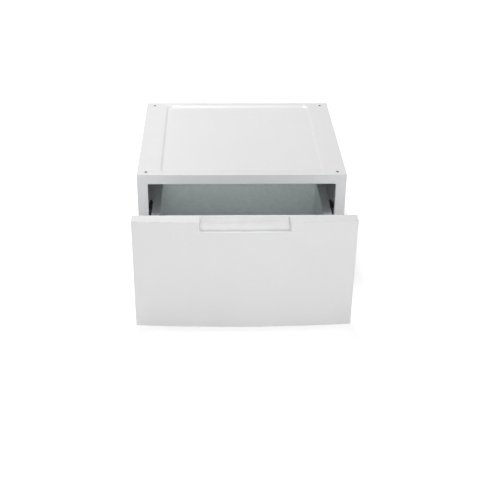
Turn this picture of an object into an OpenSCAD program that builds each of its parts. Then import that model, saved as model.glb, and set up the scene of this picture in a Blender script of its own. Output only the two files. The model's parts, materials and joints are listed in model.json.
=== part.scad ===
// Pedestal with one pull-out drawer, for a front-loading laundry machine.
// Frame: X right, Y back, Z up. Floor at Z = 0, origin under the middle of the
// pedestal as it stands with its drawer pulled out. All lengths in millimetres.

/* [Cabinet] */
// Width of the cabinet over its side panels
body_w = 686; // [640:1:740]
// Depth of the cabinet, without the drawer front
body_d = 627; // [600:1:700]
// Height of the top surface above the floor
body_h = 394; // [370:1:450]
// Clear height under the cabinet, set by the levelling feet
foot_h = 22; // [20:1:30]
// Thickness of the cabinet sheet steel
sheet = 1.0; // [0.8:0.1:1.4]
// Width of the folded joining flanges
flange = 14; // [10:1:16]
// Inside radius of the folds in sheet steel
bend_r = 0.8; // [0.6:0.1:1.2]
// Height of the front frame's top rail, from the top surface
rail_h = 33; // [28:1:40]
// Width of the front frame's stiles
stile_w = 34.5; // [30:0.5:40]
// Height of the front frame's sill
sill_h = 24; // [18:1:26]
// Corner radius of the front frame's opening
open_r = 4; // [3:0.5:8]
// How far the rear panel is set in from the ends of the side panels
rear_inset = 3.5; // [3:0.5:6]

/* [Top panel] */
// From the cabinet's sides to the sunk field
field_side = 74; // [60:1:110]
// From the cabinet's front to the sunk field
field_front = 21; // [20:1:60]
// From the cabinet's back to the sunk field
field_back = 26; // [24:0.5:60]
// Depth of the sunk field
field_depth = 5; // [3:0.5:7]
// Run of the field's sloping wall
field_slope = 8; // [5:0.5:12]
// Bend radius along the top of that wall
field_bend = 4; // [2:0.5:5]
// Corner radius of the sunk field
field_r = 24; // [20:1:40]
// Diameter of the machine fixing holes
fix_hole_d = 10; // [8:0.5:12]
// Fixing holes, from the cabinet's sides
fix_side = 29; // [24:1:36]
// Fixing holes, from the cabinet's front
fix_front = 24; // [22:1:28]
// Fixing holes, from the cabinet's back
fix_back = 26; // [24:1:30]

/* [Drawer front] */
// How much narrower than the cabinet the front is, on each side
front_side = 3; // [1:0.5:8]
// From the top surface down to the top of the front
front_drop = 4; // [2:0.5:10]
// From the floor up to the bottom of the front
front_clear = 14; // [10:1:20]
// Thickness of the front at its side edges
front_t = 37; // [32:1:44]
// Extra thickness in the middle, where the front bows out
front_bow = 12; // [8:1:20]
// Thickness of the front's outer skin
skin_t = 1.0; // [0.8:0.1:1.4]
// Bend radius of the skin's upright edges
skin_r = 3; // [2:0.5:4]
// Bend radius of the skin's top and bottom edges
skin_edge_r = 2; // [1.5:0.5:3]
// Thickness of the liner that closes the back of the front
liner_t = 0.8; // [0.6:0.1:1.2]
// Gap between the front and the cabinet when the drawer is shut
shut_gap = 3; // [2.5:0.5:5]
// Distance between the front and the cabinet as the drawer stands
open_dist = 266; // [150:1:300]

/* [Handle pocket] */
// Clear width of the pocket
grip_w = 273; // [220:1:320]
// From the top of the front down to the pocket's front lip
grip_lip = 34; // [28:1:40]
// How far the finger groove goes down below the lip
grip_groove = 24; // [18:1:28]
// Clear width of the finger groove, front to back
grip_groove_w = 26; // [24:1:28]
// Width of the rim that is left behind the pocket
grip_rim = 5; // [4:0.5:8]
// Wall thickness of the moulding
grip_wall = 2; // [1.6:0.1:2.6]
// Radius of the pocket's rear upright corners
grip_end_r = 11; // [9:1:14]
// Radius of the scooped back, from the rim down
grip_back_r = 66; // [62:1:74]
// Radius on which the scooped back turns down into the groove
grip_brow_r = 8; // [6:0.5:10]
// Radius between the groove's floor and its walls
grip_floor_r = 7; // [5:0.5:8]
// Radius between the groove's floor and its ends
grip_end_floor_r = 6; // [4:0.5:8]

/* [Drawer tub] */
// Thickness of the tub's sheet steel
tub_t = 0.8; // [0.6:0.1:1.2]
// Clear length of the tub
tub_len = 490; // [480:1:520]
// From the top surface down to the tub's rim
rim_drop = 130; // [110:1:140]
// Width of the rim that runs along each side
rim_w = 29; // [26:1:34]
// Gap between the rim and the stile, on each side
rim_gap = 10.5; // [9:0.5:13]
// Depth of the folded lip on the rim's outer edge
rim_lip = 8; // [6:1:10]
// Clearance of the tub above the sill
sill_gap = 4; // [3:0.5:8]
// Width of the beads in the bottom
bead_w = 10; // [8:1:14]

/* [Slides] */
// Length of the cabinet and drawer members
slide_len = 450; // [440:1:460]
// Length of the middle member
mid_len = 420; // [400:1:425]
// Height of the cabinet member
slide_h = 45; // [45:0.5:48]
// Overall thickness of a closed slide
slide_t = 12.7; // [12.7:0.1:13.5]
// Thickness of the slide steel
slide_sheet = 1.2; // [1.0:0.1:1.4]
// Diameter of the bearing balls
ball_d = 4; // [3.6:0.1:4]
// Clearance of a ball in its races, on each side
ball_play = 0.15; // [0.1:0.05:0.2]
// Balls in each row
balls_n = 6; // [4:1:8]
// Distance between the balls of a row
ball_pitch = 22; // [16:1:24]
// Height of the bracket that carries a slide in the cabinet
bracket_h = 56; // [54:1:60]

/* [Feet] */
// From the cabinet's side to the foot's axis
foot_side = 44; // [40:1:60]
// From the cabinet's front or back to the foot's axis
foot_end = 60; // [50:1:90]
// Diameter of the threaded stem
stem_d = 8; // [8:0.5:10]
// Diameter of the pad
pad_d = 38; // [34:1:44]
// Clearance between the stem and its hole
stem_play = 0.06; // [0.04:0.01:0.08]

/* [Hidden] */
$fn = 48;

// Finishes
white = [0.93, 0.93, 0.93];
frame_grey = [0.86, 0.86, 0.87];
zinc = [0.70, 0.72, 0.73];
slide_zinc = [0.62, 0.64, 0.66];
steel = [0.55, 0.56, 0.58];
black = [0.06, 0.07, 0.07];

// Clearances
eps = 0.01;
fit = 0.2;                       // a sheet part inside another
play = 0.05;                     // a screw or ball in its hole
pin_play = 0.06;                 // the lever's pin in its hole

// Cabinet: the frame's opening and the planes that parts are set against
hw = body_w / 2;
inner_x = hw - sheet;
open_hw = hw - stile_w;
rail_z = body_h - rail_h;
sill_z = foot_h + sill_h;
top_z = body_h - sheet;
rear_y = body_d - rear_inset;
rear_margin = 46;                // plain border round the rear panel's field
brace_w = 72;
brace_foot = 16;
brace_h = 14;

// Base and feet, seen from a front corner
foot_x = hw - foot_side;
gusset_w = 76;
gusset_t = 2.5;
base_rail_d = 34;
base_rail_h = 15;
nut_h = 6.5;
nut_r = stem_d * 0.5 + 3.5;
pad_h = 9;

// Where the cabinet and the drawer stand in Y
cab_y = (open_dist + front_t + front_bow - body_d) / 2;
drawer_y = cab_y - open_dist;
moved = open_dist - shut_gap;    // how far the drawer has come out from shut

// Drawer front: a slab whose front is an arc
front_hw = hw - front_side;
front_top = body_h - front_drop;
front_mid_y = -front_t - front_bow;
bow_r = (front_hw * front_hw + front_bow * front_bow) / (2 * front_bow);
bow_fn = 1440;

// Handle pocket, in (Y, Z): its scooped back is an arc about scoop_y, at the height of the
// front's top. It turns down over a brow, an arc about (brow_y, brow_z), into the groove.
lip_z = front_top - grip_lip;
groove_z = lip_z - grip_groove;
grip_hw = grip_w / 2;
grip_front = -front_t - 6.5;     // inside face of the groove's front wall
groove_back = grip_front + grip_groove_w;
scoop_y = -grip_rim - grip_back_r;
brow_y = groove_back + grip_brow_r;
brow_run = brow_y - scoop_y;     // from the scoop's middle to the brow's, along Y
brow_drop = sqrt((grip_back_r + grip_brow_r) * (grip_back_r + grip_brow_r)
                 - brow_run * brow_run);
brow_z = front_top - brow_drop;

// Tub
rim_z = body_h - rim_drop;
rim_x = open_hw - rim_gap;
tub_hw = rim_x - rim_w;
tub_x = tub_hw + tub_t;
tub_z = sill_z + sill_gap;
tab_w = 14;                      // joining tabs at the ends of the sides
bottom_fold = 12;                // fold that carries the bottom
bead_end = 55;                   // plain bottom beyond the ends of the beads

// Fasteners
screw_r = 1.9;
rivet_r = 2.1;
pin_r = 1.8;
stop_r = 6;
stop_zs = [foot_h + 60, rail_z - 20];   // heights of the front's soft stops
stop_clear = 0.3;                // what the stops leave when the drawer is shut

// Slides: X of the bracket's face and of the drawer rail's face
slide_x = rim_x - 0.3;
rail_x = slide_x - slide_t;
slide_z = rim_z - rim_lip - 4 - bracket_h / 2;
slide_y = sheet + flange + 2;    // front end of the cabinet member
mid_y = slide_y + 3;             // front end of the middle member, shut
fixing_end = 34;
slot_front = 80;                 // the slots' places from a member's ends
slot_rear = 70;
fixing_ys = [fixing_end, 216, slide_len - fixing_end];   // fixings along a member
slot_ys = [slot_front, slide_len - slot_rear];  // slots along a member
glide_len = 63;
glide_w = 9;
glide_deep = 14;                 // how far the guide reaches down the bracket
bumper_len = 10;
bumper_hw = 12;
lever_nose = 14;                 // the lever's reach in front of its pin, and behind it
lever_tail = 80;
lever_back = 40;                 // from the middle fixing back to the lever's pin

// Slides: races and webs, as (u, w)
ball_r = ball_d / 2;
ball_gap = ball_d + 2 * ball_play;
outer_race = slide_h / 2 - slide_sheet;
mid_race = outer_race - ball_gap;
mid_inside = mid_race - slide_sheet;
inner_race = mid_inside - ball_gap;
ball_w_outer = outer_race - ball_gap / 2;
ball_w_inner = mid_inside - ball_gap / 2;
mid_u = slide_sheet + 1.4;       // the cage's web runs in this gap
inner_u = mid_u + slide_sheet + 1.5;
ball_u_outer = mid_u + 2.6;
ball_u_inner = inner_u + 2.3;
hook_drop = 1.2;                 // how far a hook reaches below its ball's middle
cage_t = 0.6;
cage_len = ball_pitch * (balls_n - 1) + 24;
// A cage's middle when shut, so that it stays within both members all the way
cage_outer_y = (slide_y + mid_y + mid_len) / 2;
cage_inner_y = (slide_y + slide_len + mid_y) / 2;
lever_y = slide_y + fixing_ys[1] + lever_back;

// ---------- shared forms ----------

module block(lo, hi) {
    translate(lo) cube(hi - lo);
}

// Y = 0 is the plane of the cabinet's front frame
module cabinet() {
    translate([0, cab_y, 0]) children();
}

// Y = 0 is the back of the drawer front, as the drawer stands
module drawer() {
    translate([0, drawer_y, 0]) children();
}

module left() {
    mirror([1, 0, 0]) children();
}

module both_sides() {
    children();
    left() children();
}

// Bar with the cross-section (X, Z), running along Y
module bar_y(y0, y1) {
    translate([0, y1, 0]) rotate([90, 0, 0]) linear_extrude(y1 - y0) children();
}

// Bar with the cross-section (Y, Z), running along X on both sides of the middle
module bar_x(half_len) {
    rotate([90, 0, 90]) linear_extrude(2 * half_len, center = true) children();
}

function unit(v) = v / norm(v);

// Section of a folded sheet: path is its middle line, r the inside radius of its bends
module folded(path, t, r = bend_r) {
    last = len(path) - 1;
    mid_r = r + t / 2;
    ways = [for (i = [0 : last - 1]) unit(path[i + 1] - path[i])];
    // How far from each corner of the path its bend starts
    trims = [for (i = [0 : last])
             i == 0 || i == last ? 0 : mid_r * tan(acos(ways[i - 1] * ways[i]) / 2)];
    for (i = [0 : last - 1]) {
        a = path[i] + trims[i] * ways[i];
        b = path[i + 1] - trims[i + 1] * ways[i];
        across = t / 2 * [-ways[i][1], ways[i][0]];
        polygon([a + across, a - across, b - across, b + across]);
    }
    for (i = [1 : last - 1]) {
        a = path[i] - trims[i] * ways[i - 1];
        b = path[i] + trims[i] * ways[i];
        centre = path[i] + norm([mid_r, trims[i]]) * unit(ways[i] - ways[i - 1]);
        translate(centre) intersection() {
            difference() {
                circle(r = mid_r + t / 2);
                circle(r = mid_r - t / 2);
            }
            polygon([[0, 0], 2 * (a - centre), 2 * (path[i] - centre), 2 * (b - centre)]);
        }
    }
}

// Round bar along X or Y, from the origin
module rod_x(r, len) {
    rotate([0, 90, 0]) cylinder(h = len, r = r);
}

module rod_y(r, len) {
    rotate([-90, 0, 0]) cylinder(h = len, r = r);
}

// Low screw head standing on Z = 0
module pan_head(r, h) {
    cylinder(h = h / 2, r = r);
    translate([0, 0, h / 2]) cylinder(h = h / 2, r1 = r, r2 = r * 0.7);
}

// Rounded rectangle about the origin
module rounded_rect(w, d, r) {
    square([w, d - 2 * r], center = true);
    square([w - 2 * r, d], center = true);
    for (x = [-1, 1], y = [-1, 1]) translate([x * (w / 2 - r), y * (d / 2 - r)]) circle(r = r);
}

// Carries a profile (outwards, up) round the edge of a rounded rectangle
module round_loop(w, d, r) {
    for (i = [0 : 3]) rotate(90 * i) {
        across = i % 2 == 0 ? w : d;
        along = i % 2 == 0 ? d : w;
        translate([across / 2, along / 2 - r, 0]) rotate([90, 0, 0])
            linear_extrude(along - 2 * r) children();
        translate([across / 2 - r, along / 2 - r, 0]) rotate_extrude(angle = 90)
            translate([r, 0]) children();
    }
}

// Flat sheet in XY, top at Z = 0, with a field pressed down into it
module pressed_sheet(lo, hi, field_lo, field_hi, depth) {
    size = field_hi - field_lo;
    mid = (field_lo + field_hi) / 2;
    half = sheet / 2;
    edge = field_bend + sheet;       // the wall's strip takes in this much of the flats
    inner = field_slope + edge;
    shift = half * tan(atan(depth / field_slope) / 2);
    translate([0, 0, -sheet]) linear_extrude(sheet) difference() {
        translate(lo) square(hi - lo);
        translate(mid) rounded_rect(size[0] + 2 * edge, size[1] + 2 * edge, field_r + edge);
    }
    translate([mid[0], mid[1], 0]) round_loop(size[0], size[1], field_r)
        folded([[edge, -half], [shift, -half], [shift - field_slope, -depth - half],
                [-inner, -depth - half]], sheet, field_bend);
    translate([mid[0], mid[1], -depth - sheet]) linear_extrude(sheet)
        rounded_rect(size[0] - 2 * inner, size[1] - 2 * inner, field_r - inner);
}

// ---------- cabinet shell ----------

module top_panel() {
    color(white) cabinet() difference() {
        translate([0, 0, body_h]) pressed_sheet(
            [-hw, 0], [hw, body_d],
            [field_side - hw, field_front], [hw - field_side, body_d - field_back],
            field_depth);
        for (x = [-1, 1], y = [fix_front, body_d - fix_back])
            translate([x * (hw - fix_side), y, body_h - 2 * sheet])
                cylinder(h = 3 * sheet, d = fix_hole_d);
    }
}

// Hat section whose feet are welded up against the sunk field
module top_brace() {
    end_gap = field_slope + field_bend;
    half = sheet / 2;
    web = (brace_w - brace_foot) / 2;
    color(zinc) cabinet()
        translate([(hw - field_side) / 2, 0, body_h - field_depth - sheet])
            bar_y(field_front + end_gap, body_d - field_back - end_gap)
                folded([[-web - brace_foot, -half], [-web, -half], [-web, half - brace_h],
                        [web, half - brace_h], [web, -half], [web + brace_foot, -half]], sheet);
}

module rear_screw_places() {
    for (x = [-1, 1], z = [0.08, 0.5, 0.92])
        translate([x * (inner_x - flange / 2), rear_y, foot_h + z * (top_z - foot_h)])
            children();
}

module side_panel() {
    half = sheet / 2;
    flange_x = inner_x - flange;
    flange_y0 = 2 * sheet;
    flange_y1 = rear_y - sheet;
    color(white) cabinet() difference() {
        union() {
            bar_y(flange_y0, flange_y1)
                folded([[flange_x, foot_h + half], [hw - half, foot_h + half],
                        [hw - half, top_z - half], [flange_x, top_z - half]], sheet);
            block([inner_x, sheet, foot_h], [hw, flange_y0, top_z]);
            block([inner_x, flange_y1, foot_h], [hw, body_d, top_z]);
            block([flange_x, sheet, foot_h], [inner_x, flange_y0, top_z]);
            block([flange_x, flange_y1, foot_h], [inner_x, rear_y, top_z]);
        }
        rear_screw_places() translate([0, -2 * sheet, 0]) rod_y(screw_r + play, 3 * sheet);
    }
}

// Closes the back between the side panels, field pressed inwards
module rear_panel() {
    panel_hw = inner_x - fit;
    z0 = foot_h + fit;
    z1 = top_z - fit;
    color(white) cabinet() difference() {
        translate([0, rear_y + sheet, 0]) rotate([90, 0, 180]) pressed_sheet(
            [-panel_hw, z0], [panel_hw, z1],
            [rear_margin - panel_hw, z0 + rear_margin], [panel_hw - rear_margin, z1 - rear_margin],
            field_depth);
        rear_screw_places() translate([0, -sheet, 0]) rod_y(screw_r + play, 3 * sheet);
    }
}

module rear_screws() {
    color(steel) cabinet() rear_screw_places() {
        translate([0, sheet, 0]) rotate([-90, 0, 0]) pan_head(3.6, rear_inset - sheet - 0.5);
        translate([0, -8, 0]) rod_y(screw_r, 8 + sheet);
    }
}

// One stamping: rail, stiles and sill, with the edge of the opening folded in
module front_frame() {
    half = sheet / 2;
    depth = sheet + flange;
    fold_hw = inner_x - flange - 1;
    edge = 2 * (bend_r + sheet);     // the opening's strip takes in this much of the face
    open_w = 2 * open_hw;
    open_h = rail_z - sill_z;
    mid_z = (rail_z + sill_z) / 2;
    color(frame_grey) cabinet() {
        translate([0, 0, mid_z]) rotate([90, 0, 0]) {
            translate([0, 0, -sheet]) linear_extrude(sheet) difference() {
                translate([-hw, foot_h - mid_z]) square([2 * hw, top_z - foot_h]);
                rounded_rect(open_w + 2 * edge, open_h + 2 * edge, open_r + edge);
            }
            round_loop(open_w, open_h, open_r)
                folded([[edge, -half], [half, -half], [half, -depth]], sheet);
        }
        block([-fold_hw, half, foot_h], [fold_hw, depth, foot_h + sheet]);
        block([-fold_hw, half, top_z - sheet], [fold_hw, depth, top_z]);
    }
}

// ---------- base and feet ----------

// Corner gusset, welded on the side panel's lower flange, holds one foot
module foot_bracket() {
    z0 = foot_h + sheet;
    x0 = inner_x - gusset_w;
    y0 = sheet + flange + 1;
    y1 = foot_end + gusset_w / 2;
    up = 34;
    x1 = inner_x - bend_r;
    color(zinc) difference() {
        union() {
            block([x0, y0, z0], [x1, y1, z0 + gusset_t]);
            block([x1 - gusset_t, y0, z0], [x1, y1, z0 + up]);
            for (y = [y0, y1 - gusset_t]) bar_y(y, y + gusset_t)
                polygon([[x0, z0], [x1, z0], [x1, z0 + up], [x1 - gusset_t, z0 + up],
                         [x0, z0 + gusset_t]]);
        }
        translate([foot_x, foot_end, z0 - 1])
            cylinder(h = gusset_t + 2, r = stem_d / 2 + stem_play);
    }
}

// Places a foot's part at a front or rear corner, on the right
module front_corner() {
    cabinet() children();
}

module rear_corner() {
    translate([0, cab_y + rear_y - sheet, 0]) mirror([0, 1, 0])
        translate([0, -sheet, 0]) children();
}

module at_foot() {
    translate([foot_x, foot_end, 0]) children();
}

module foot_locknut() {
    color(steel) at_foot() translate([0, 0, foot_h + sheet - nut_h]) difference() {
        cylinder(h = nut_h, r = nut_r, $fn = 6);
        translate([0, 0, -1]) cylinder(h = nut_h + 2, r = stem_d / 2 + stem_play);
    }
}

module foot_locknuts() {
    both_sides() {
        front_corner() foot_locknut();
        rear_corner() foot_locknut();
    }
}

module foot_stem() {
    color(steel) at_foot() {
        translate([0, 0, pad_h - 4]) cylinder(h = foot_h + 28 - pad_h, d = stem_d);
        translate([0, 0, pad_h]) cylinder(h = 6, r = nut_r, $fn = 6);
    }
}

module foot_pad() {
    color(black) at_foot() difference() {
        union() {
            cylinder(h = 1, r1 = pad_d / 2 - 1, r2 = pad_d / 2);
            translate([0, 0, 1]) cylinder(h = 3, d = pad_d);
            translate([0, 0, 4]) cylinder(h = pad_h - 4, d1 = pad_d, d2 = pad_d * 0.6);
        }
        translate([0, 0, pad_h - 4]) cylinder(h = 5, d = stem_d + 0.1);
    }
}

// Open channel across the base, its flat ends on the foot brackets
module base_rail() {
    half = slide_sheet / 2;
    end_x = inner_x - gusset_w + 22;
    channel_x = end_x - 40;
    z0 = foot_h + sheet + gusset_t;
    color(zinc) translate([0, sheet + flange + gusset_t + 3, z0]) {
        bar_x(channel_x) folded([[half, base_rail_h], [half, half], [base_rail_d - half, half],
                                 [base_rail_d - half, base_rail_h]], slide_sheet);
        both_sides() block([channel_x, 0, 0], [end_x, base_rail_d, slide_sheet]);
    }
}

// ---------- slides ----------
// Cross-sections are drawn as (u, w): u from the bracket towards the drawer,
// w up from the slide's middle.

module slide_section(y0, y1) {
    translate([slide_x, 0, slide_z]) mirror([1, 0, 0]) bar_y(y0, y1) children();
}

// Hook that a race bends round its balls, from the top to the open side
module race_hook(u, w) {
    reach = ball_r + ball_play + slide_sheet;
    translate([u, w]) difference() {
        circle(r = reach);
        circle(r = ball_r + ball_play);
        translate([-2 * reach, -2 * reach]) square([2 * reach, 4 * reach]);
        translate([-eps, -2 * reach]) square([2 * reach, 2 * reach - hook_drop]);
    }
}

module outer_section() {
    translate([0, -slide_h / 2]) square([slide_sheet, slide_h]);
    for (s = [0, 1]) mirror([0, s]) {
        translate([0, outer_race]) square([ball_u_outer, slide_sheet]);
        race_hook(ball_u_outer, ball_w_outer);
    }
}

module middle_section() {
    translate([mid_u, -mid_race]) square([slide_sheet, 2 * mid_race]);
    for (s = [0, 1]) mirror([0, s]) {
        translate([mid_u, mid_inside]) square([ball_u_inner - mid_u, slide_sheet]);
        race_hook(ball_u_inner, ball_w_inner);
    }
}

module inner_section() {
    web_u = slide_t - slide_sheet;
    inside = inner_race - slide_sheet;
    polygon([[slide_t, -inner_race], [slide_t, inner_race], [inner_u, inner_race],
             [inner_u, inside], [web_u, inside], [web_u, -inside],
             [inner_u, -inside], [inner_u, -inner_race]]);
}

// Rivet and screw places along a slide, on the face of the bracket
module slide_fixings() {
    for (y = fixing_ys)
        translate([slide_x, slide_y + y, slide_z]) children();
}

// Lengthways slot through a member's web
module web_slot(y, len) {
    r = 2.6;
    translate([slide_x - slide_t - 2, slide_y + y, slide_z]) {
        for (s = [-1, 1]) translate([0, s * (len / 2 - r), 0]) rod_x(r, slide_t + 4);
        block([0, r - len / 2, -r], [slide_t + 4, len / 2 - r, r]);
    }
}

module slide_outer() {
    color(slide_zinc) cabinet() difference() {
        slide_section(slide_y, slide_y + slide_len) outer_section();
        slide_fixings() translate([-slide_t, 0, 0]) rod_x(rivet_r + play, slide_t + 1);
        for (y = slot_ys) web_slot(y, 18);
    }
}

module slide_middle() {
    color(slide_zinc) cabinet() translate([0, -moved / 2, 0]) difference() {
        slide_section(mid_y, mid_y + mid_len) middle_section();
        for (y = slot_ys) web_slot(y, 24);
    }
}

module slide_inner() {
    color(slide_zinc) cabinet() translate([0, -moved, 0]) difference() {
        slide_section(slide_y, slide_y + slide_len) inner_section();
        slide_fixings() translate([-slide_t - 1, 0, 0]) rod_x(screw_r + play, slide_t);
        web_slot(slot_ys[0], 18);
        translate([slide_x - slide_t - 1, lever_y, slide_z])
            rod_x(pin_r + pin_play, slide_sheet + 2);
    }
}

// Carries a slide, its flanges welded to the side panel. The upper flange starts
// behind the guide.
module slide_bracket() {
    half = slide_sheet / 2;
    web_x = slide_x + half;
    side_x = inner_x - half;
    flange_z = bracket_h / 2 - half;
    foot_z = bracket_h / 2 + 12;
    y1 = slide_y + slide_len + 20;
    color(zinc) cabinet() difference() {
        translate([0, 0, slide_z]) {
            bar_y(slide_y, y1)
                folded([[side_x, -foot_z], [side_x, -flange_z], [web_x, -flange_z],
                        [web_x, flange_z - half - bend_r]], slide_sheet);
            bar_y(slide_y + glide_len + 2, y1)
                folded([[web_x, 0], [web_x, flange_z], [side_x, flange_z], [side_x, foot_z]],
                       slide_sheet);
        }
        slide_fixings() translate([-1, 0, 0]) rod_x(rivet_r + play, slide_sheet + 2);
    }
}

module bracket_rivets() {
    color(steel) cabinet() both_sides() slide_fixings() {
        translate([-slide_sheet, 0, 0]) rod_x(rivet_r, 2 * slide_sheet);
        translate([slide_sheet, 0, 0]) rotate([0, 90, 0]) pan_head(4, 1.6);
    }
}

// Block at the back of each cabinet member that the middle member runs against
module slide_bumpers() {
    y0 = mid_y + mid_len + 0.5;
    color(black) cabinet() both_sides()
        block([slide_x - 4.6, y0, slide_z - bumper_hw],
              [slide_x - slide_sheet, y0 + bumper_len, slide_z + bumper_hw]);
}

// Guides the rim's lip just inside the front frame; it lies against the bracket
module side_glide() {
    x0 = slide_x + slide_sheet;
    x1 = x0 + glide_w;
    z0 = slide_z + bracket_h / 2 - glide_deep;
    y1 = slide_y + glide_len;
    lead = 9;
    color(black) cabinet() translate([0, 0, z0]) linear_extrude(rim_z - 2 - z0)
        polygon([[x0 + 2.5, slide_y], [x1, slide_y], [x1, y1], [x0 + 2.5, y1], [x0, y1 - lead],
                 [x0, slide_y + lead]]);
}

// Strips that space the balls, joined by a web between two members
module ball_cage(mid, u, w, web_u) {
    translate([0, mid - cage_len / 2, 0]) difference() {
        slide_section(0, cage_len) {
            translate([web_u, -w]) square([cage_t, 2 * w]);
            for (s = [-1, 1]) translate([web_u, s * w - cage_t])
                square([u + ball_r - 0.2 - web_u, 2 * cage_t]);
        }
        ball_places(cage_len / 2, u, w) cylinder(h = 4, r = ball_r + play, center = true);
    }
}

module ball_places(mid, u, w) {
    for (i = [0 : balls_n - 1], s = [-1, 1])
        translate([slide_x - u, mid + (i - (balls_n - 1) / 2) * ball_pitch, slide_z + s * w])
            children();
}

module ball_cage_outer() {
    color(steel) cabinet() translate([0, -moved / 4, 0])
        ball_cage(cage_outer_y, ball_u_outer, ball_w_outer, slide_sheet + 0.4);
}

module ball_cage_inner() {
    color(steel) cabinet() translate([0, -moved * 3 / 4, 0])
        ball_cage(cage_inner_y, ball_u_inner, ball_w_inner, mid_u + slide_sheet + 0.4);
}

module balls_outer() {
    color(steel) cabinet() translate([0, -moved / 4, 0])
        ball_places(cage_outer_y, ball_u_outer, ball_w_outer) sphere(r = ball_r, $fn = 24);
}

module balls_inner() {
    color(steel) cabinet() translate([0, -moved * 3 / 4, 0])
        ball_places(cage_inner_y, ball_u_inner, ball_w_inner) sphere(r = ball_r, $fn = 24);
}

// Catch inside the drawer member; pressing its tail frees the drawer
module release_lever() {
    u0 = inner_u + 0.4;
    u1 = slide_t - slide_sheet - 1.1;
    color(black) cabinet() translate([slide_x, lever_y - moved, slide_z]) {
        translate([-u1, 0, 0]) rotate([90, 0, 90]) linear_extrude(u1 - u0)
            polygon([[-lever_nose, -4], [-lever_nose, 1], [6 - lever_nose, 4], [8, 4], [18, 2],
                     [lever_tail - 14, 2], [lever_tail - 8, 4], [lever_tail, 4],
                     [lever_tail, -8], [lever_tail - 6, -8], [lever_tail - 14, -2], [18, -2],
                     [8, -4], [8 - lever_nose, -4], [5 - lever_nose, -6.5]]);
        translate([-slide_t + 0.1, 0, 0]) rod_x(pin_r, slide_t - u1);
        translate([-slide_t + slide_sheet + 0.3, 0, 0]) rod_x(2 * pin_r, 1);
    }
}

// ---------- drawer ----------

// Hat section that carries a slide's drawer member beside the tub
module drawer_rail() {
    half = slide_sheet / 2;
    foot_x = tub_x + half;
    web_x = rail_x - half;
    flange_z = 20 - half;
    foot_z = 31;
    end = 6;                         // how far it runs past the ends of the member
    color(zinc) drawer() translate([0, shut_gap, 0]) difference() {
        translate([0, 0, slide_z]) bar_y(slide_y - end, slide_y + slide_len + end)
            folded([[foot_x, -foot_z], [foot_x, -flange_z], [web_x, -flange_z],
                    [web_x, flange_z], [foot_x, flange_z], [foot_x, foot_z]], slide_sheet);
        slide_fixings() translate([-slide_t - 5, 0, 0]) rod_x(screw_r + play, 6);
    }
}

module rail_screws() {
    color(steel) cabinet() translate([0, -moved, 0]) both_sides() slide_fixings()
        translate([-slide_t, 0, 0]) {
            translate([slide_sheet, 0, 0]) rotate([0, 90, 0]) pan_head(3.6, 1.4);
            translate([-6, 0, 0]) rod_x(screw_r, 6 + slide_sheet);
        }
}

module front_screw_places() {
    for (z = [0.12, 0.5, 0.88])
        translate([tub_x + tab_w / 2, 0, tub_z + z * (rim_z - tub_z)]) children();
}

// Wall, rim with its folded lip, and the tabs that join it to its neighbours
module drawer_side() {
    half = tub_t / 2;
    wall_x = tub_hw + half;
    lip_x = rim_x - half;
    tab_z0 = tub_z + 8;
    tab_z1 = rim_z - rim_lip - 2;
    color(zinc) drawer() difference() {
        union() {
            bar_y(0, tub_len)
                folded([[tub_hw - bottom_fold, tub_z + half], [wall_x, tub_z + half],
                        [wall_x, rim_z - half], [lip_x, rim_z - half],
                        [lip_x, rim_z - rim_lip]], tub_t);
            for (y = [0, tub_len - tub_t])
                block([tub_hw, y, tab_z0], [tub_x + tab_w, y + tub_t, tab_z1]);
        }
        front_screw_places() translate([0, -1, 0]) rod_y(screw_r + play, tub_t + 2);
    }
}

module drawer_back() {
    half = tub_t / 2;
    wall_y = tub_len + half;
    fold_z = tub_z + tub_t + bend_r; // the wall proper starts where the lower bend ends
    fold_hw = tub_hw - bottom_fold - 1;
    color(zinc) drawer() {
        bar_x(tub_x + tab_w) folded([[wall_y, fold_z], [wall_y, rim_z - half],
                                     [tub_len + tab_w, rim_z - half]], tub_t);
        bar_x(fold_hw) folded([[tub_len - bottom_fold, tub_z + half], [wall_y, tub_z + half],
                               [wall_y, fold_z + tub_t]], tub_t);
    }
}

// Long bead with round ends, standing up from Z = 0
module bead(r, len) {
    for (s = [-1, 1]) translate([0, s * len / 2, 0]) sphere(r = r);
    translate([0, -len / 2, 0]) rod_y(r, len);
}

module drawer_bottom() {
    bottom_hw = tub_hw - bend_r - fit;
    z0 = tub_z + tub_t;
    z1 = z0 + tub_t;
    bead_r = bead_w / 2;
    bead_len = tub_len - 2 * bead_end;
    color(zinc) drawer() difference() {
        union() {
            block([-bottom_hw, fit, z0], [bottom_hw, tub_len - bend_r - fit, z1]);
            bead_places(z0) bead(bead_r, bead_len);
        }
        bead_places(z0) bead(bead_r - tub_t, bead_len);
        block([-bottom_hw, 0, z0 - 10], [bottom_hw, tub_len, z0]);
    }
}

module bead_places(z) {
    for (i = [-2 : 2])
        translate([i * tub_hw * 0.36, tub_len / 2, z]) children();
}

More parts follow.
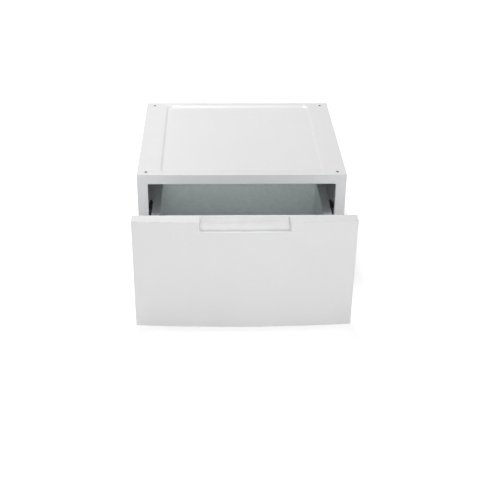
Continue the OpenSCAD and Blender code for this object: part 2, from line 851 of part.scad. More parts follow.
// Bowed slab with bent front edges; Y = 0 is its flat back
module bowed_slab(inset, z0, z1, back) {
    side = front_hw - inset;
    centre_y = front_mid_y + bow_r;
    arc_r = bow_r - inset;
    arc_turn = 3 * asin(front_hw / bow_r);
    deep = front_t + front_bow;
    upright_r = skin_r - inset;
    level_r = skin_edge_r - inset;
    mid_z = (z0 + z1) / 2;
    edge_x = side - upright_r;
    edge_y = centre_y - sqrt(arc_r * arc_r - edge_x * edge_x) + upright_r - 0.02;
    difference() {
        intersection() {
            translate([0, centre_y, mid_z]) rotate(-90 - arc_turn / 2)
                rotate_extrude(angle = arc_turn, $fn = bow_fn)
                    translate([arc_r - deep, 0]) rounded_rect(2 * deep, z1 - z0, level_r);
            translate([0, 0, mid_z]) bar_y(front_mid_y - 1, back)
                rounded_rect(2 * side, z1 - z0, level_r);
        }
        both_sides() difference() {
            block([edge_x, front_mid_y - 2, z0 - 1], [side + 1, edge_y, z1 + 1]);
            translate([edge_x, edge_y, z0 - 2]) cylinder(h = z1 - z0 + 4, r = upright_r);
        }
    }
}

module drawer_front_skin() {
    color(white) drawer() difference() {
        bowed_slab(0, front_clear, front_top, 0);
        bowed_slab(skin_t, front_clear + skin_t, front_top - skin_t, 1);
        pocket_plan(grip_wall + 0.15, lip_z, front_top + 1);
    }
}

module drawer_front_liner() {
    liner_hw = front_hw - skin_t - fit;
    color(zinc) drawer() difference() {
        block([-liner_hw, -liner_t, front_clear + skin_t + fit],
              [liner_hw, 0, front_top - skin_t - fit]);
        both_sides() front_screw_places() translate([0, -5, 0]) rod_y(screw_r + play, 10);
    }
}

// The pocket seen from above: open at the front, round at the back corners
module pocket_plan(grow, z0, z1) {
    side = grip_hw + grow;
    r = grip_end_r + grow;
    back = grow - grip_rim;
    front = front_mid_y - 1;
    translate([0, 0, z0]) linear_extrude(z1 - z0) {
        translate([-side, front]) square([2 * side, back - r - front]);
        translate([r - side, front]) square([2 * (side - r), back - front]);
        for (s = [-1, 1]) translate([s * (side - r), back - r]) circle(r = r);
    }
}

// The pocket cut through the middle (Y, Z): scooped back, finger groove, open front
module pocket_section(grow, open_z) {
    front = grip_front - grow;
    rear = groove_back + grow;
    floor_z = groove_z - grow;
    wall_z = groove_z + grip_floor_r;    // the groove's walls stand from here up
    above = front_top + 1;
    back_r = grip_back_r + grow;
    brow_r = grip_brow_r - grow;
    floor_r = grip_floor_r + grow;
    turn_z = front_top - back_r * brow_drop / (grip_back_r + grip_brow_r);
    bar_x(grip_hw + grow + 1) {
        intersection() {
            translate([scoop_y, front_top]) circle(r = back_r, $fn = 192);
            translate([front, wall_z]) square([back_r, front_top - wall_z]);
        }
        difference() {
            translate([front, wall_z]) square([brow_y - front, turn_z - wall_z]);
            translate([brow_y, brow_z]) circle(r = brow_r);
            translate([rear, wall_z - 1]) square([brow_y - rear + 1, brow_z - wall_z + 1]);
        }
        translate([front + floor_r, floor_z])
            square([rear - front - 2 * floor_r, floor_r + 1]);
        for (y = [front + floor_r, rear - floor_r]) translate([y, wall_z]) circle(r = floor_r);
        translate([front, front_top]) square([grow - grip_rim - front, 1]);
        translate([front_mid_y - 1, open_z])
            square([front - front_mid_y + 2, above - open_z]);
    }
}

// The pocket seen from the front: rounded where its ends meet the floor
module pocket_ends(grow) {
    side = grip_hw + grow;
    z0 = groove_z - grow;
    r = grip_end_floor_r + grow;
    bar_y(front_mid_y - 1, 0) {
        translate([-side - 1, z0 + r]) square([2 * side + 2, front_top + 1 - z0 - r]);
        translate([r - side, z0]) square([2 * (side - r), r]);
        for (s = [-1, 1]) translate([s * (side - r), z0 + r]) circle(r = r);
    }
}

// All that is clear inside the pocket, grown by the wall for its outside
module pocket_space(grow, open_z) {
    intersection() {
        pocket_plan(grow, groove_z - 2 * grip_wall, front_top + 2);
        pocket_section(grow, open_z);
        pocket_ends(grow);
    }
}

// Disc as wide as the skin's bow, bevelled along its top edge
module bow_disc(inset) {
    r = bow_r - inset;
    bevel = 0.6 * skin_edge_r;
    translate([0, front_mid_y + bow_r, 0]) rotate_extrude($fn = bow_fn)
        polygon([[0, 0], [r, 0], [r, front_top - bevel], [r - bevel, front_top], [0, front_top]]);
}

module handle_pocket() {
    color(white) drawer() intersection() {
        difference() {
            pocket_space(grip_wall, lip_z);
            pocket_space(0, lip_z + grip_wall);
        }
        bow_disc(fit);
    }
}

module front_screws() {
    color(steel) drawer() both_sides() front_screw_places() {
        translate([0, tub_t, 0]) rotate([-90, 0, 0]) pan_head(3.6, 1.6);
        translate([0, -8, 0]) rod_y(screw_r, 8 + tub_t);
    }
}

// Soft stops on the liner, which meet the stiles when the drawer shuts
module front_bumpers() {
    color(black) drawer() both_sides()
        for (z = stop_zs)
            translate([hw - stile_w / 2, 0, z]) rod_y(stop_r, shut_gap - stop_clear);
}

// ---------- the parts ----------

top_panel();
left() top_brace();  // top_brace_left
top_brace();  // top_brace_right
left() side_panel();  // side_panel_left
side_panel();  // side_panel_right
rear_panel();
rear_screws();
front_frame();
front_corner() base_rail();  // base_rail_front
rear_corner() base_rail();  // base_rail_rear
left() front_corner() foot_bracket();  // foot_bracket_front_left
front_corner() foot_bracket();  // foot_bracket_front_right
left() rear_corner() foot_bracket();  // foot_bracket_rear_left
rear_corner() foot_bracket();  // foot_bracket_rear_right
foot_locknuts();
left() front_corner() foot_stem();  // foot_stem_front_left
front_corner() foot_stem();  // foot_stem_front_right
left() rear_corner() foot_stem();  // foot_stem_rear_left
rear_corner() foot_stem();  // foot_stem_rear_right
left() front_corner() foot_pad();  // foot_pad_front_left
front_corner() foot_pad();  // foot_pad_front_right
left() rear_corner() foot_pad();  // foot_pad_rear_left
rear_corner() foot_pad();  // foot_pad_rear_right
left() slide_bracket();  // slide_bracket_left
slide_bracket();  // slide_bracket_right
bracket_rivets();
left() side_glide();  // side_glide_left
side_glide();  // side_glide_right
left() slide_outer();  // slide_outer_left
slide_outer();  // slide_outer_right
slide_bumpers();
left() ball_cage_outer();  // ball_cage_outer_left
ball_cage_outer();  // ball_cage_outer_right
left() balls_outer();  // balls_outer_left
balls_outer();  // balls_outer_right
left() slide_middle();  // slide_middle_left
slide_middle();  // slide_middle_right
left() ball_cage_inner();  // ball_cage_inner_left
ball_cage_inner();  // ball_cage_inner_right
left() balls_inner();  // balls_inner_left
balls_inner();  // balls_inner_right
left() slide_inner();  // slide_inner_left
slide_inner();  // slide_inner_right
left() release_lever();  // release_lever_left
release_lever();  // release_lever_right
rail_screws();
left() drawer_rail();  // drawer_rail_left
drawer_rail();  // drawer_rail_right
left() drawer_side();  // drawer_side_left
drawer_side();  // drawer_side_right
drawer_back();
drawer_bottom();
drawer_front_liner();
drawer_front_skin();
handle_pocket();
front_screws();
front_bumpers();
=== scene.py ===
import json
from math import cos, pi, radians, sin

import bmesh
import bpy
from mathutils import Matrix, Vector


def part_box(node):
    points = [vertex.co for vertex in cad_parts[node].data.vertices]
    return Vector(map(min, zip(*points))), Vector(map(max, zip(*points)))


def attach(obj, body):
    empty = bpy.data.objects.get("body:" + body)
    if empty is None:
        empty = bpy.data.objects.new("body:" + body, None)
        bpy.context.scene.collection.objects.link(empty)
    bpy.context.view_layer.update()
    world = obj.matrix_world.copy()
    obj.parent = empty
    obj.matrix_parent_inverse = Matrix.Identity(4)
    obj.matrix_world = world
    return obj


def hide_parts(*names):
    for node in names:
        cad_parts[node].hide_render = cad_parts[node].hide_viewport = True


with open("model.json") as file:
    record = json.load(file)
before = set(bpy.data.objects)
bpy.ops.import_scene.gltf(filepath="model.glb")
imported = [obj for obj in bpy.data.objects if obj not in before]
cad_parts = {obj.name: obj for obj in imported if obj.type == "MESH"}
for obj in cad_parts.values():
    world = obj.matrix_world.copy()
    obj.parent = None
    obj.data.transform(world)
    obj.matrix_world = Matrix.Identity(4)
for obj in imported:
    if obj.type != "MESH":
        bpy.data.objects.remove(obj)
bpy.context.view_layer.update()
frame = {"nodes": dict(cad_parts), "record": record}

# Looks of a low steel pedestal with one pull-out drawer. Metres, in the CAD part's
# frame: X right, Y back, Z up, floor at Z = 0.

MM = 0.001
WELD = 0.002 * MM       # vertices of the CAD meshes that lie closer are one


# ---------- materials ----------

def new_material(name):
    """A node material, its tree and the tree's Principled shader."""
    mat = bpy.data.materials.new(name)
    mat.use_nodes = True
    return mat, mat.node_tree, mat.node_tree.nodes["Principled BSDF"]


def object_coords(tree, stretch=(1, 1, 1)):
    """Object coordinates in metres, multiplied by stretch."""
    coords = tree.nodes.new("ShaderNodeTexCoord")
    mapping = tree.nodes.new("ShaderNodeMapping")
    mapping.inputs["Scale"].default_value = stretch
    tree.links.new(coords.outputs["Object"], mapping.inputs["Vector"])
    return mapping.outputs["Vector"]


def noise(tree, vector, per_metre, detail=2.0):
    """Noise with per_metre lumps in a metre, and detail finer octaves on them."""
    node = tree.nodes.new("ShaderNodeTexNoise")
    node.inputs["Scale"].default_value = per_metre
    node.inputs["Detail"].default_value = detail
    tree.links.new(vector, node.inputs["Vector"])
    return node.outputs["Fac"]


def spread(tree, value, low, high, start=0.3, stop=0.7):
    """Maps value from start..stop onto low..high."""
    node = tree.nodes.new("ShaderNodeMapRange")
    for key, number in zip(("From Min", "From Max", "To Min", "To Max"),
                           (start, stop, low, high)):
        node.inputs[key].default_value = number
    tree.links.new(value, node.inputs["Value"])
    return node.outputs["Result"]


def tint(tree, value, dark, light):
    """Blends two colours by value."""
    node = tree.nodes.new("ShaderNodeMix")
    node.data_type = "RGBA"
    node.inputs["A"].default_value = (*dark, 1)
    node.inputs["B"].default_value = (*light, 1)
    tree.links.new(value, node.inputs["Factor"])
    return node.outputs["Result"]


def combine(tree, operation, first, second):
    """One value from two by a Math node."""
    node = tree.nodes.new("ShaderNodeMath")
    node.operation = operation
    tree.links.new(first, node.inputs[0])
    tree.links.new(second, node.inputs[1])
    return node.outputs[0]


def add_bump(tree, shader, height, depth, strength):
    """Bump of a depth in metres on a shader, from a height of 0 to 1."""
    node = tree.nodes.new("ShaderNodeBump")
    node.inputs["Strength"].default_value = strength
    node.inputs["Distance"].default_value = depth
    tree.links.new(height, node.inputs["Height"])
    tree.links.new(node.outputs["Normal"], shader.inputs["Normal"])


def shade(colour, factor):
    """A colour made darker or lighter."""
    return tuple(c * factor for c in colour)


def enamel(name, colour, rough, coat):
    """Baked enamel: orange peel of about 2 mm, and slow changes of shade and gloss."""
    mat, tree, bsdf = new_material(name)
    place = object_coords(tree)
    cloud = spread(tree, noise(tree, place, 5), 0, 1)
    gloss = spread(tree, noise(tree, place, 14, 3), rough, rough + 0.06)
    tree.links.new(tint(tree, cloud, shade(colour, 0.985), colour), bsdf.inputs["Base Color"])
    tree.links.new(gloss, bsdf.inputs["Roughness"])
    bsdf.inputs["Coat Weight"].default_value = coat
    bsdf.inputs["Coat Roughness"].default_value = 0.12
    add_bump(tree, bsdf, noise(tree, place, 420, 1.0), 0.01 * MM, 0.35)
    return mat


def galvanised(name, colour):
    """Zinc-coated sheet: faint crystals of about a centimetre with wandering borders."""
    crystals_per_metre, border_shift = 95, 6 * MM
    mat, tree, bsdf = new_material(name)
    place = object_coords(tree)
    wander = tree.nodes.new("ShaderNodeVectorMath")
    wander.operation = "SCALE"
    wander.inputs["Scale"].default_value = border_shift
    tree.links.new(noise(tree, place, 60, 2), wander.inputs[0])
    moved = tree.nodes.new("ShaderNodeVectorMath")
    moved.operation = "ADD"
    tree.links.new(place, moved.inputs[0])
    tree.links.new(wander.outputs[0], moved.inputs[1])
    cells = tree.nodes.new("ShaderNodeTexVoronoi")
    cells.inputs["Scale"].default_value = crystals_per_metre
    tree.links.new(moved.outputs[0], cells.inputs["Vector"])
    channels = tree.nodes.new("ShaderNodeSeparateColor")
    tree.links.new(cells.outputs["Color"], channels.inputs["Color"])
    crystal = channels.outputs["Red"]
    tree.links.new(tint(tree, crystal, shade(colour, 0.965), shade(colour, 1.03)),
                   bsdf.inputs["Base Color"])
    tree.links.new(spread(tree, crystal, 0.50, 0.56, 0, 1), bsdf.inputs["Roughness"])
    bsdf.inputs["Metallic"].default_value = 0.8
    add_bump(tree, bsdf, noise(tree, place, 400, 2), 0.01 * MM, 0.3)
    return mat


def rolled_steel(name, colour, rough):
    """Plated steel with fine drawing lines along Y."""
    mat, tree, bsdf = new_material(name)
    lines = noise(tree, object_coords(tree, (1, 0.02, 1)), 2600, 2)
    cloud = spread(tree, noise(tree, object_coords(tree), 35, 3), 0, 1)
    tree.links.new(tint(tree, cloud, shade(colour, 0.9), colour), bsdf.inputs["Base Color"])
    tree.links.new(spread(tree, lines, rough - 0.06, rough + 0.08), bsdf.inputs["Roughness"])
    bsdf.inputs["Metallic"].default_value = 1.0
    add_bump(tree, bsdf, lines, 0.02 * MM, 0.35)
    return mat


def moulded(name, colour, rough, grains, depth):
    """Moulded plastic or rubber with a fine even grain: grains to a metre, depth high."""
    mat, tree, bsdf = new_material(name)
    place = object_coords(tree)
    cloud = spread(tree, noise(tree, place, 30, 2), 0, 1)
    gloss = spread(tree, noise(tree, place, 120, 2), rough - 0.04, rough + 0.04)
    tree.links.new(tint(tree, cloud, shade(colour, 0.96), colour), bsdf.inputs["Base Color"])
    tree.links.new(gloss, bsdf.inputs["Roughness"])
    bsdf.inputs["IOR"].default_value = 1.49
    add_bump(tree, bsdf, noise(tree, place, grains, 2), depth, 0.5)
    return mat


FINISHES = {
    "white_enamel": (enamel, (0.87, 0.87, 0.875), 0.30, 0.25),
    # painted light: the front frame is the same white enamel as the cabinet, given a lighter
    # colour to make up for the shade that its front face sits in
    "frame_enamel": (enamel, (0.90, 0.905, 0.911), 0.36, 0.15),
    "zinc_sheet": (galvanised, (0.795, 0.83, 0.83)),
    "slide_steel": (rolled_steel, (0.58, 0.60, 0.62), 0.30),
    "steel": (rolled_steel, (0.52, 0.53, 0.54), 0.34),
    "ball_steel": (rolled_steel, (0.74, 0.75, 0.77), 0.10),
    "white_moulding": (moulded, (0.94, 0.94, 0.945), 0.34, 900, 0.01 * MM),
    "black_moulding": (moulded, (0.025, 0.026, 0.027), 0.50, 1400, 0.04 * MM),
    "black_rubber": (moulded, (0.022, 0.022, 0.022), 0.75, 1100, 0.06 * MM),
}
MATERIALS = {slot: make(slot, *look) for slot, (make, *look) in FINISHES.items()}
SLOT_OF = {row["node"]: row["material_slot"] for row in frame["record"]["subparts"]}

for node, obj in frame["nodes"].items():
    obj.data.materials.clear()
    obj.data.materials.append(MATERIALS[SLOT_OF[node]])


# ---------- surfaces of the CAD solids ----------

SHARP_EDGE = radians(32)


def clean_surface():
    """Nodes that join a solid's faces, keep flat faces flat and shade its bends smooth."""
    group = bpy.data.node_groups.new("clean_surface", "GeometryNodeTree")
    group.interface.new_socket("Geometry", in_out="INPUT", socket_type="NodeSocketGeometry")
    group.interface.new_socket("Geometry", in_out="OUTPUT", socket_type="NodeSocketGeometry")
    add = group.nodes.new
    start, end = add("NodeGroupInput"), add("NodeGroupOutput")
    merge = add("GeometryNodeMergeByDistance")
    merge.inputs["Distance"].default_value = WELD
    plain = add("GeometryNodeRemoveAttribute")
    plain.inputs["Name"].default_value = "custom_normal"
    smooth = add("GeometryNodeSetShadeSmooth")
    smooth.domain = "FACE"
    smooth.inputs["Shade Smooth"].default_value = True
    angle = add("GeometryNodeInputMeshEdgeAngle")
    sharp = add("FunctionNodeCompare")
    sharp.operation = "GREATER_THAN"
    sharp.inputs["B"].default_value = SHARP_EDGE
    crease = add("GeometryNodeSetShadeSmooth")
    crease.domain = "EDGE"
    crease.inputs["Shade Smooth"].default_value = False
    link = group.links.new
    link(angle.outputs["Unsigned Angle"], sharp.inputs["A"])
    link(sharp.outputs["Result"], crease.inputs["Selection"])
    chain = (start, merge, plain, smooth, crease, end)
    for before, after in zip(chain, chain[1:]):
        link(before.outputs["Geometry"], after.inputs["Geometry"])
    return group


SURFACE = clean_surface()
for obj in frame["nodes"].values():
    obj.modifiers.new("surface", "NODES").node_group = SURFACE


# ---------- fasteners, feet and stops ----------

SEGMENTS = 40           # of a turned piece
SCREW_R = 1.9 * MM      # crests of the sheet-metal screws' threads
STEM_R = 4.0 * MM       # the same of the levelling feet
COLLAR_H = 6.0 * MM
BODY_OF = {node: body for body, nodes in frame["record"]["behaviour"]["bodies"].items()
           for node in nodes}


def solids(node):
    """The lowest and highest corner of each separate solid of a CAD node."""
    bm = bmesh.new()
    bm.from_mesh(frame["nodes"][node].data)
    bmesh.ops.remove_doubles(bm, verts=bm.verts, dist=WELD)
    seen, boxes = set(), []
    for first in bm.verts:
        if first in seen:
            continue
        seen.add(first)
        todo, places = [first], []
        while todo:
            vert = todo.pop()
            places.append(vert.co.copy())
            for edge in vert.link_edges:
                other = edge.other_vert(vert)
                if other not in seen:
                    seen.add(other)
                    todo.append(other)
        boxes.append((Vector(map(min, zip(*places))), Vector(map(max, zip(*places)))))
    bm.free()
    return boxes


def ring(bm, r, z, count):
    """A circle of vertices about Z, or its middle where r is 0."""
    if r == 0:
        return [bm.verts.new((0, 0, z))]
    return [bm.verts.new((r * cos(2 * pi * k / count), r * sin(2 * pi * k / count), z))
            for k in range(count)]


def skin(bm, rings, count):
    """Faces from each ring to the next; count is the vertices of a full ring."""
    for low, high in zip(rings, rings[1:]):
        for k in range(count):
            n = (k + 1) % count
            corners = [low[k % len(low)], low[n % len(low)],
                       high[n % len(high)], high[k % len(high)]]
            bm.faces.new([c for i, c in enumerate(corners) if c not in corners[:i]])


def middle(low, high):
    """The middle of a box, from its lowest and highest corner."""
    return [(a + b) / 2 for a, b in zip(low, high)]


def turned(profile, segments=SEGMENTS):
    """Solid of revolution about Z from (radius, height) points; radius 0 closes an end."""
    bm = bmesh.new()
    skin(bm, [ring(bm, r, z, segments) for r, z in profile], segments)
    bmesh.ops.recalc_face_normals(bm, faces=bm.faces)
    return bm


def thread(core, crest, pitch, z0, z1, segments=24):
    """Threaded rod along Z: rows of vertices follow the helix, ends cut off square."""
    bm = bmesh.new()
    steps = ((0.0, core), (0.12, core), (0.42, crest), (0.55, crest), (0.86, core))
    run_out = 0.9           # how fast the thread rises from the core at an end
    rows = []
    for turn in range(-2, int((z1 - z0) / pitch) + 3):
        for part, r in steps:
            row = []
            for k in range(segments):
                angle = 2 * pi * k / segments
                z = min(max(z0 + (turn + part + k / segments) * pitch, z0), z1)
                reach = min(r, core + min(z - z0, z1 - z) * run_out)
                row.append(bm.verts.new((reach * cos(angle), reach * sin(angle), z)))
            rows.append(row)
    step = len(steps)
    for m in range(len(rows) - 1):
        for k in range(segments):
            if k + 1 < segments:
                corners = (rows[m][k], rows[m][k + 1], rows[m + 1][k + 1], rows[m + 1][k])
            elif m + 1 + step < len(rows):
                corners = (rows[m][k], rows[m + step][0], rows[m + 1 + step][0], rows[m + 1][k])
            else:
                continue
            bm.faces.new(corners)
    same = 0.001 * MM
    bmesh.ops.remove_doubles(bm, verts=bm.verts, dist=same)
    bmesh.ops.dissolve_degenerate(bm, edges=bm.edges, dist=same)
    bmesh.ops.holes_fill(bm, edges=[e for e in bm.edges if e.is_boundary], sides=0)
    bmesh.ops.recalc_face_normals(bm, faces=bm.faces)
    return bm


def hexagon(corner_r, z0, z1, bevel, bore=None):
    """Six-sided collar along Z whose corners are turned off at both ends; bore is a hole."""
    bm = bmesh.new()
    flat_r = corner_r * cos(pi / 6)
    end_r = flat_r * 0.985
    lead = 0.6 * MM         # chamfer at both ends of the hole
    count = 6 * 8
    rings = []
    for z, limit in ((z0, end_r), (z0 + bevel, corner_r), (z1 - bevel, corner_r), (z1, end_r)):
        row = []
        for k in range(count):
            angle = 2 * pi * k / count
            r = min(flat_r / cos(angle % (pi / 3) - pi / 6), limit)
            row.append(bm.verts.new((r * cos(angle), r * sin(angle), z)))
        rings.append(row)
    skin(bm, rings, count)
    if bore is None:
        bm.faces.new(rings[0])
        bm.faces.new(rings[-1])
    else:
        hole = [ring(bm, r, z, count) for z, r in ((z0, bore + lead), (z0 + lead, bore),
                                                   (z1 - lead, bore), (z1, bore + lead))]
        skin(bm, [rings[0], *hole, rings[-1]], count)
    bmesh.ops.recalc_face_normals(bm, faces=bm.faces)
    return bm


def as_mesh(bm, name):
    """An object with the bmesh's shape; the bmesh is used up."""
    mesh = bpy.data.meshes.new(name)
    bm.to_mesh(mesh)
    bm.free()
    obj = bpy.data.objects.new(name, mesh)
    bpy.context.collection.objects.link(obj)
    return obj


def cross_recess(bm, r, top, deep):
    """Sinks a tapered cross into the flat top of a screw head."""
    head = as_mesh(bm, "head")
    tool = bmesh.new()
    for turn in (0, pi / 2):
        for vert in bmesh.ops.create_cube(tool, size=1.0)["verts"]:
            low = vert.co.z < 0
            spot = Vector((vert.co.x * 2 * r * (0.45 if low else 1.0),
                           vert.co.y * r * (0.16 if low else 0.36),
                           top - deep if low else top + 0.2 * MM))
            vert.co = Matrix.Rotation(turn, 3, "Z") @ spot
    cutter = as_mesh(tool, "cutter")
    cut = head.modifiers.new("cut", "BOOLEAN")
    cut.operation, cut.solver, cut.object = "DIFFERENCE", "EXACT", cutter
    cut.use_self = True              # the cutter's two bars cross
    bpy.context.view_layer.update()
    done = bmesh.new()
    done.from_object(head, bpy.context.evaluated_depsgraph_get())
    for obj in (head, cutter):
        bpy.data.objects.remove(obj)
    return done


def joined(parts):
    """One bmesh from several (bmesh, matrix) pairs, whose own meshes are used up."""
    whole = bmesh.new()
    for bm, matrix in parts:
        mesh = bpy.data.meshes.new("part")
        bm.to_mesh(mesh)
        mesh.transform(matrix)
        whole.from_mesh(mesh)
        bpy.data.meshes.remove(mesh)
    for bm in {bm for bm, _ in parts}:
        bm.free()
    return whole


def stand_for(node, parts):
    """Makes (bmesh, matrix) pairs the piece seen for a CAD node, on its body, in its finish."""
    piece = as_mesh(joined(parts), node + "_detail")
    for face in piece.data.polygons:
        face.use_smooth = True
    piece.data.set_sharp_from_angle(angle=radians(30))
    piece.data.materials.append(MATERIALS[SLOT_OF[node]])
    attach(piece, BODY_OF[node])
    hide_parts(node)


def pan_head(r, h):
    """Profile of a pan head that sits on Z = 0, from its rim to its middle."""
    return [(0, 0), (r * 0.97, 0), (r, h * 0.10), (r, h * 0.42), (r * 0.96, h * 0.66),
            (r * 0.86, h * 0.84), (r * 0.72, h * 0.95), (r * 0.55, h), (0, h)]


def screw(head_r, head_h, length):
    """Sheet-metal screw: head up from Z = 0, thread and point down from it."""
    core, pitch = SCREW_R * 0.74, 1.4 * MM
    recess_r, recess_h = head_r * 0.62, head_h * 0.62
    point = min(2.4 * MM, 0.3 * length)
    head = cross_recess(turned(pan_head(head_r, head_h)), recess_r, head_h, recess_h)
    shank = thread(core, SCREW_R, pitch, -length + point, 0.1 * MM)
    tip = turned([(0, -length), (SCREW_R * 0.12, -length), (core, -length + point),
                  (0, -length + point)], 24)
    return joined([(bm, Matrix.Identity(4)) for bm in (head, shank, tip)])


def put(place, towards):
    """Matrix that takes a piece made along Z to a place, with its Z along towards."""
    return Matrix.Translation(place) @ Vector(towards).to_track_quat("Z", "Y").to_matrix().to_4x4()


def screws(node, direction, head_h):
    """Screws in a CAD node's places; direction is a head's, seen from the +X side."""
    parts = []
    made = None
    for low, high in solids(node):
        way = Vector(direction)
        if low.x + high.x < 0:
            way.x = -way.x
        mid, half = (low + high) / 2, (high - low) / 2
        axis = max(range(3), key=lambda k: abs(way[k]))
        if made is None:
            made = screw(half[(axis + 1) % 3], head_h, 2 * half[axis] - head_h)
        parts.append((made, put(mid + way * (half[axis] - head_h), way)))
    stand_for(node, parts)


def rivets():
    """Domed rivets through the slide brackets, upset on the far side."""
    parts = []
    shank_r, dome = 2.1 * MM, 1.6 * MM
    for low, high in solids("bracket_rivets"):
        r, end = (high.z - low.z) / 2, high.x - low.x
        bm = turned([(0, 0), (shank_r, 0), (shank_r, end - dome), (r, end - dome),
                     (r * 0.99, end - dome * 0.72), (r * 0.88, end - dome * 0.38),
                     (r * 0.64, end - dome * 0.12), (r * 0.34, end),
                     (r * 0.28, end - dome * 0.5), (0, end - dome * 0.55)])
        x, y, z = middle(low, high)
        side = 1 if x > 0 else -1
        parts.append((bm, put((low.x if side > 0 else high.x, y, z), (side, 0, 0))))
    stand_for("bracket_rivets", parts)


def foot(corner):
    """Levelling foot: threaded stem with a hexagon collar, and a ribbed rubber pad."""
    low, high = solids("foot_stem_" + corner)[0]
    x, y, _ = middle(low, high)
    here = Matrix.Translation((x, y, 0))
    pad_low, pad_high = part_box("foot_pad_" + corner)
    pad_r, pad_h = (pad_high[0] - pad_low[0]) / 2, pad_high[2]
    collar_r = max(high.x - low.x, high.y - low.y) / 2
    stem = thread(STEM_R * 0.86, STEM_R, 1.25 * MM, low.z, high.z, 32)
    collar = hexagon(collar_r, pad_h, pad_h + COLLAR_H, 0.7 * MM)
    stand_for("foot_stem_" + corner, [(stem, here), (collar, here)])
    socket_r = STEM_R + 0.05 * MM
    groove_r = pad_r - 0.45 * MM
    profile = [(0, 0.6 * MM), (pad_r * 0.55, 0.6 * MM), (pad_r * 0.60, 0), (pad_r - 1.4 * MM, 0),
               (pad_r - 0.5 * MM, 0.35 * MM), (pad_r - 0.1 * MM, 1.1 * MM)]
    for k in range(3):
        z = 1.3 * MM + k * 0.9 * MM
        profile += [(pad_r, z), (pad_r, z + 0.35 * MM),
                    (groove_r, z + 0.5 * MM), (groove_r, z + 0.75 * MM)]
    profile += [(pad_r - 0.8 * MM, 4.2 * MM), (pad_r * 0.80, pad_h - 2.3 * MM),
                (pad_r * 0.62, pad_h - 0.5 * MM), (pad_r * 0.58, pad_h),
                (socket_r, pad_h), (socket_r, low.z), (0, low.z)]
    stand_for("foot_pad_" + corner, [(turned(profile, 72), here)])


def locknuts():
    """Hexagon nuts that lock the stems against the base."""
    parts = []
    for low, high in solids("foot_locknuts"):
        r = max(high.x - low.x, high.y - low.y) / 2
        nut = hexagon(r, 0, high.z - low.z, 0.8 * MM, STEM_R + 0.06 * MM)
        x, y, _ = middle(low, high)
        parts.append((nut, Matrix.Translation((x, y, low.z))))
    stand_for("foot_locknuts", parts)


def stops():
    """Soft stops behind the drawer front: a round button with a rolled edge and a dimple."""
    parts = []
    for low, high in solids("front_bumpers"):
        r, h = (high.x - low.x) / 2, high.y - low.y
        bm = turned([(0, 0), (r, 0), (r, h * 0.45), (r * 0.96, h * 0.72), (r * 0.86, h * 0.93),
                     (r * 0.74, h), (r * 0.45, h), (r * 0.36, h * 0.86), (0, h * 0.82)], 48)
        x, _, z = middle(low, high)
        parts.append((bm, put((x, low.y, z), (0, 1, 0))))
    stand_for("front_bumpers", parts)


# Heads as high above the sheet that they hold as in the CAD source
screws("rear_screws", (0, 1, 0), 2.0 * MM)
screws("rail_screws", (1, 0, 0), 1.4 * MM)
screws("front_screws", (0, 1, 0), 1.6 * MM)
rivets()
for corner in ("front_left", "front_right", "rear_left", "rear_right"):
    foot(corner)
locknuts()
stops()


# ---------- floor, light and camera ----------

CABINET_HALF_WIDTH = 343 * MM
CABINET_FRONT, CABINET_BACK = -156 * MM, 471 * MM
FLOOR_HALF = 30.0
FLOOR_WHITE = (0.9, 0.9, 0.9, 1)
LIFT_NEAR, LIFT_FAR = 0.52, 0.85    # white that the floor adds near and far away
LIFT_START, LIFT_STOP = 1.5, 5.0    # up to where it is near, and from where far away
EDGE_START, EDGE_STOP = 0.99, 1.1   # no white up to the one, all of it from the other,
                                    # both as shares of the cabinet's half sizes
AMBIENT = 0.25
# Name, place, point that it is turned to, size, watts
SOFTBOXES = (
    ("key", (-0.5, 1.5, 2.8), (0, 0, 0.3), (0.7, 0.6), 31),
    ("above", (-0.24, 0.3, 3.0), (0, 0, 0.3), (0.5, 0.8), 21),
    ("front", (-0.2, -3.4, 1.6), (0, 0, 0.2), (3.0, 1.0), 34),
    ("front_high", (0, -3.0, 2.1), (0, 0, 0.2), (1.2, 0.8), 4),
    ("front_low", (0, -3.6, 0.6), (0, -0.2, 0.2), (3.0, 0.7), 5),
    ("right", (2.6, -1.2, 1.2), (0, -0.2, 0.2), (1.6, 1.6), 6.8),
    ("behind", (-1.2, 2.4, 2.0), (0, 0, 0.3), (2.4, 1.2), 4.0))


def from_cabinet(tree):
    """How far a place is from the cabinet's middle along X and Y; 1 at its walls."""
    half_depth = (CABINET_BACK - CABINET_FRONT) / 2
    centre = (CABINET_BACK + CABINET_FRONT) / 2
    place = object_coords(tree, (1 / CABINET_HALF_WIDTH, 1 / half_depth, 1))
    place.node.inputs["Location"].default_value[1] = -centre / half_depth
    size = tree.nodes.new("ShaderNodeVectorMath")
    size.operation = "ABSOLUTE"
    parts = tree.nodes.new("ShaderNodeSeparateXYZ")
    tree.links.new(place, size.inputs[0])
    tree.links.new(size.outputs[0], parts.inputs[0])
    return parts.outputs["X"], parts.outputs["Y"]


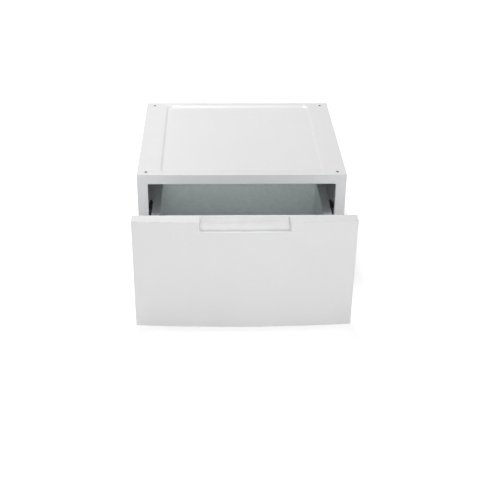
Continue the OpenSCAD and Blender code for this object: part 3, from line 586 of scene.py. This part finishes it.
def show_white(tree, shaded):
    """Adds white to what camera, glossy and transmission rays see of the floor: none
    under the cabinet, near it as much as leaves its shadow, far away up to plain white."""
    reach = tree.nodes.new("ShaderNodeVectorMath")
    reach.operation = "LENGTH"
    tree.links.new(object_coords(tree), reach.inputs[0])
    white = spread(tree, reach.outputs["Value"], LIFT_NEAR, LIFT_FAR, LIFT_START, LIFT_STOP)
    outside = spread(tree, combine(tree, "MAXIMUM", *from_cabinet(tree)),
                     0, 1, EDGE_START, EDGE_STOP)
    path = tree.nodes.new("ShaderNodeLightPath")
    rays = [path.outputs[ray] for ray in ("Is Camera Ray", "Is Glossy Ray",
                                          "Is Transmission Ray")]
    seen = combine(tree, "MAXIMUM", combine(tree, "MAXIMUM", *rays[:2]), rays[2])
    glow = tree.nodes.new("ShaderNodeEmission")
    tree.links.new(combine(tree, "MULTIPLY", seen, combine(tree, "MULTIPLY", white, outside)),
                   glow.inputs["Strength"])
    both = tree.nodes.new("ShaderNodeAddShader")
    tree.links.new(shaded, both.inputs[0])
    tree.links.new(glow.outputs[0], both.inputs[1])
    tree.links.new(both.outputs[0], tree.nodes["Material Output"].inputs["Surface"])


def make_floor():
    """A matt white floor at Z = 0 that takes the pedestal's shadow."""
    mesh = bpy.data.meshes.new("floor")
    half = FLOOR_HALF
    mesh.from_pydata([(-half, -half, 0), (half, -half, 0), (half, half, 0), (-half, half, 0)],
                     [], [(0, 1, 2, 3)])
    floor = bpy.data.objects.new("floor", mesh)
    bpy.context.collection.objects.link(floor)
    mat, tree, bsdf = new_material("floor_white")
    bsdf.inputs["Base Color"].default_value = FLOOR_WHITE
    bsdf.inputs["Roughness"].default_value = 0.9
    bsdf.inputs["Specular IOR Level"].default_value = 0.0
    show_white(tree, bsdf.outputs[0])
    mesh.materials.append(mat)


def make_world():
    """White to the camera, and light of strength AMBIENT to everything else."""
    world = bpy.data.worlds.new("studio")
    bpy.context.scene.world = world
    world.use_nodes = True
    tree = world.node_tree
    back = tree.nodes["Background"]
    back.inputs["Color"].default_value = (1, 1, 1, 1)
    path = tree.nodes.new("ShaderNodeLightPath")
    tree.links.new(spread(tree, path.outputs["Is Camera Ray"], AMBIENT, 1, 0, 1),
                   back.inputs["Strength"])


def softbox(name, place, target, size, watts):
    """A rectangular area light at a place, turned to its target."""
    lamp = bpy.data.lights.new(name, "AREA")
    lamp.shape = "RECTANGLE"
    lamp.size, lamp.size_y = size
    lamp.energy = watts
    obj = bpy.data.objects.new(name, lamp)
    obj.location = place
    obj.rotation_euler = (Vector(target) - Vector(place)).to_track_quat("-Z", "Y").to_euler()
    bpy.context.collection.objects.link(obj)


make_floor()
make_world()
for row in SOFTBOXES:
    softbox(*row)

# The view of the photograph, worked out from the corners of the pedestal
CAMERA_PLACE = (-96.7 * MM, -2889.7 * MM, 1731 * MM)
CAMERA_PITCH = radians(30.03)      # down
CAMERA_YAW = radians(1.93)         # to the right
CAMERA_ROLL = radians(0.69)
SENSOR = 36.0
FOCAL_PIXELS, FRAME_PIXELS = 933.6, 480


def make_camera():
    """The scene's camera, from the place, the angles and the focal length above."""
    ahead = Vector((sin(CAMERA_YAW) * cos(CAMERA_PITCH), cos(CAMERA_YAW) * cos(CAMERA_PITCH),
                    -sin(CAMERA_PITCH)))
    level = Vector((cos(CAMERA_YAW), -sin(CAMERA_YAW), 0))
    upright = level.cross(ahead)
    right = cos(CAMERA_ROLL) * level + sin(CAMERA_ROLL) * upright
    up = cos(CAMERA_ROLL) * upright - sin(CAMERA_ROLL) * level
    cam = bpy.data.objects.new("camera", bpy.data.cameras.new("camera"))
    cam.matrix_world = (Matrix.Translation(CAMERA_PLACE)
                        @ Matrix((right, up, -ahead)).transposed().to_4x4())
    cam.data.sensor_width = SENSOR
    cam.data.lens = SENSOR * FOCAL_PIXELS / FRAME_PIXELS
    bpy.context.collection.objects.link(cam)
    bpy.context.scene.camera = cam


make_camera()
bpy.context.scene.view_settings.view_transform = "Standard"
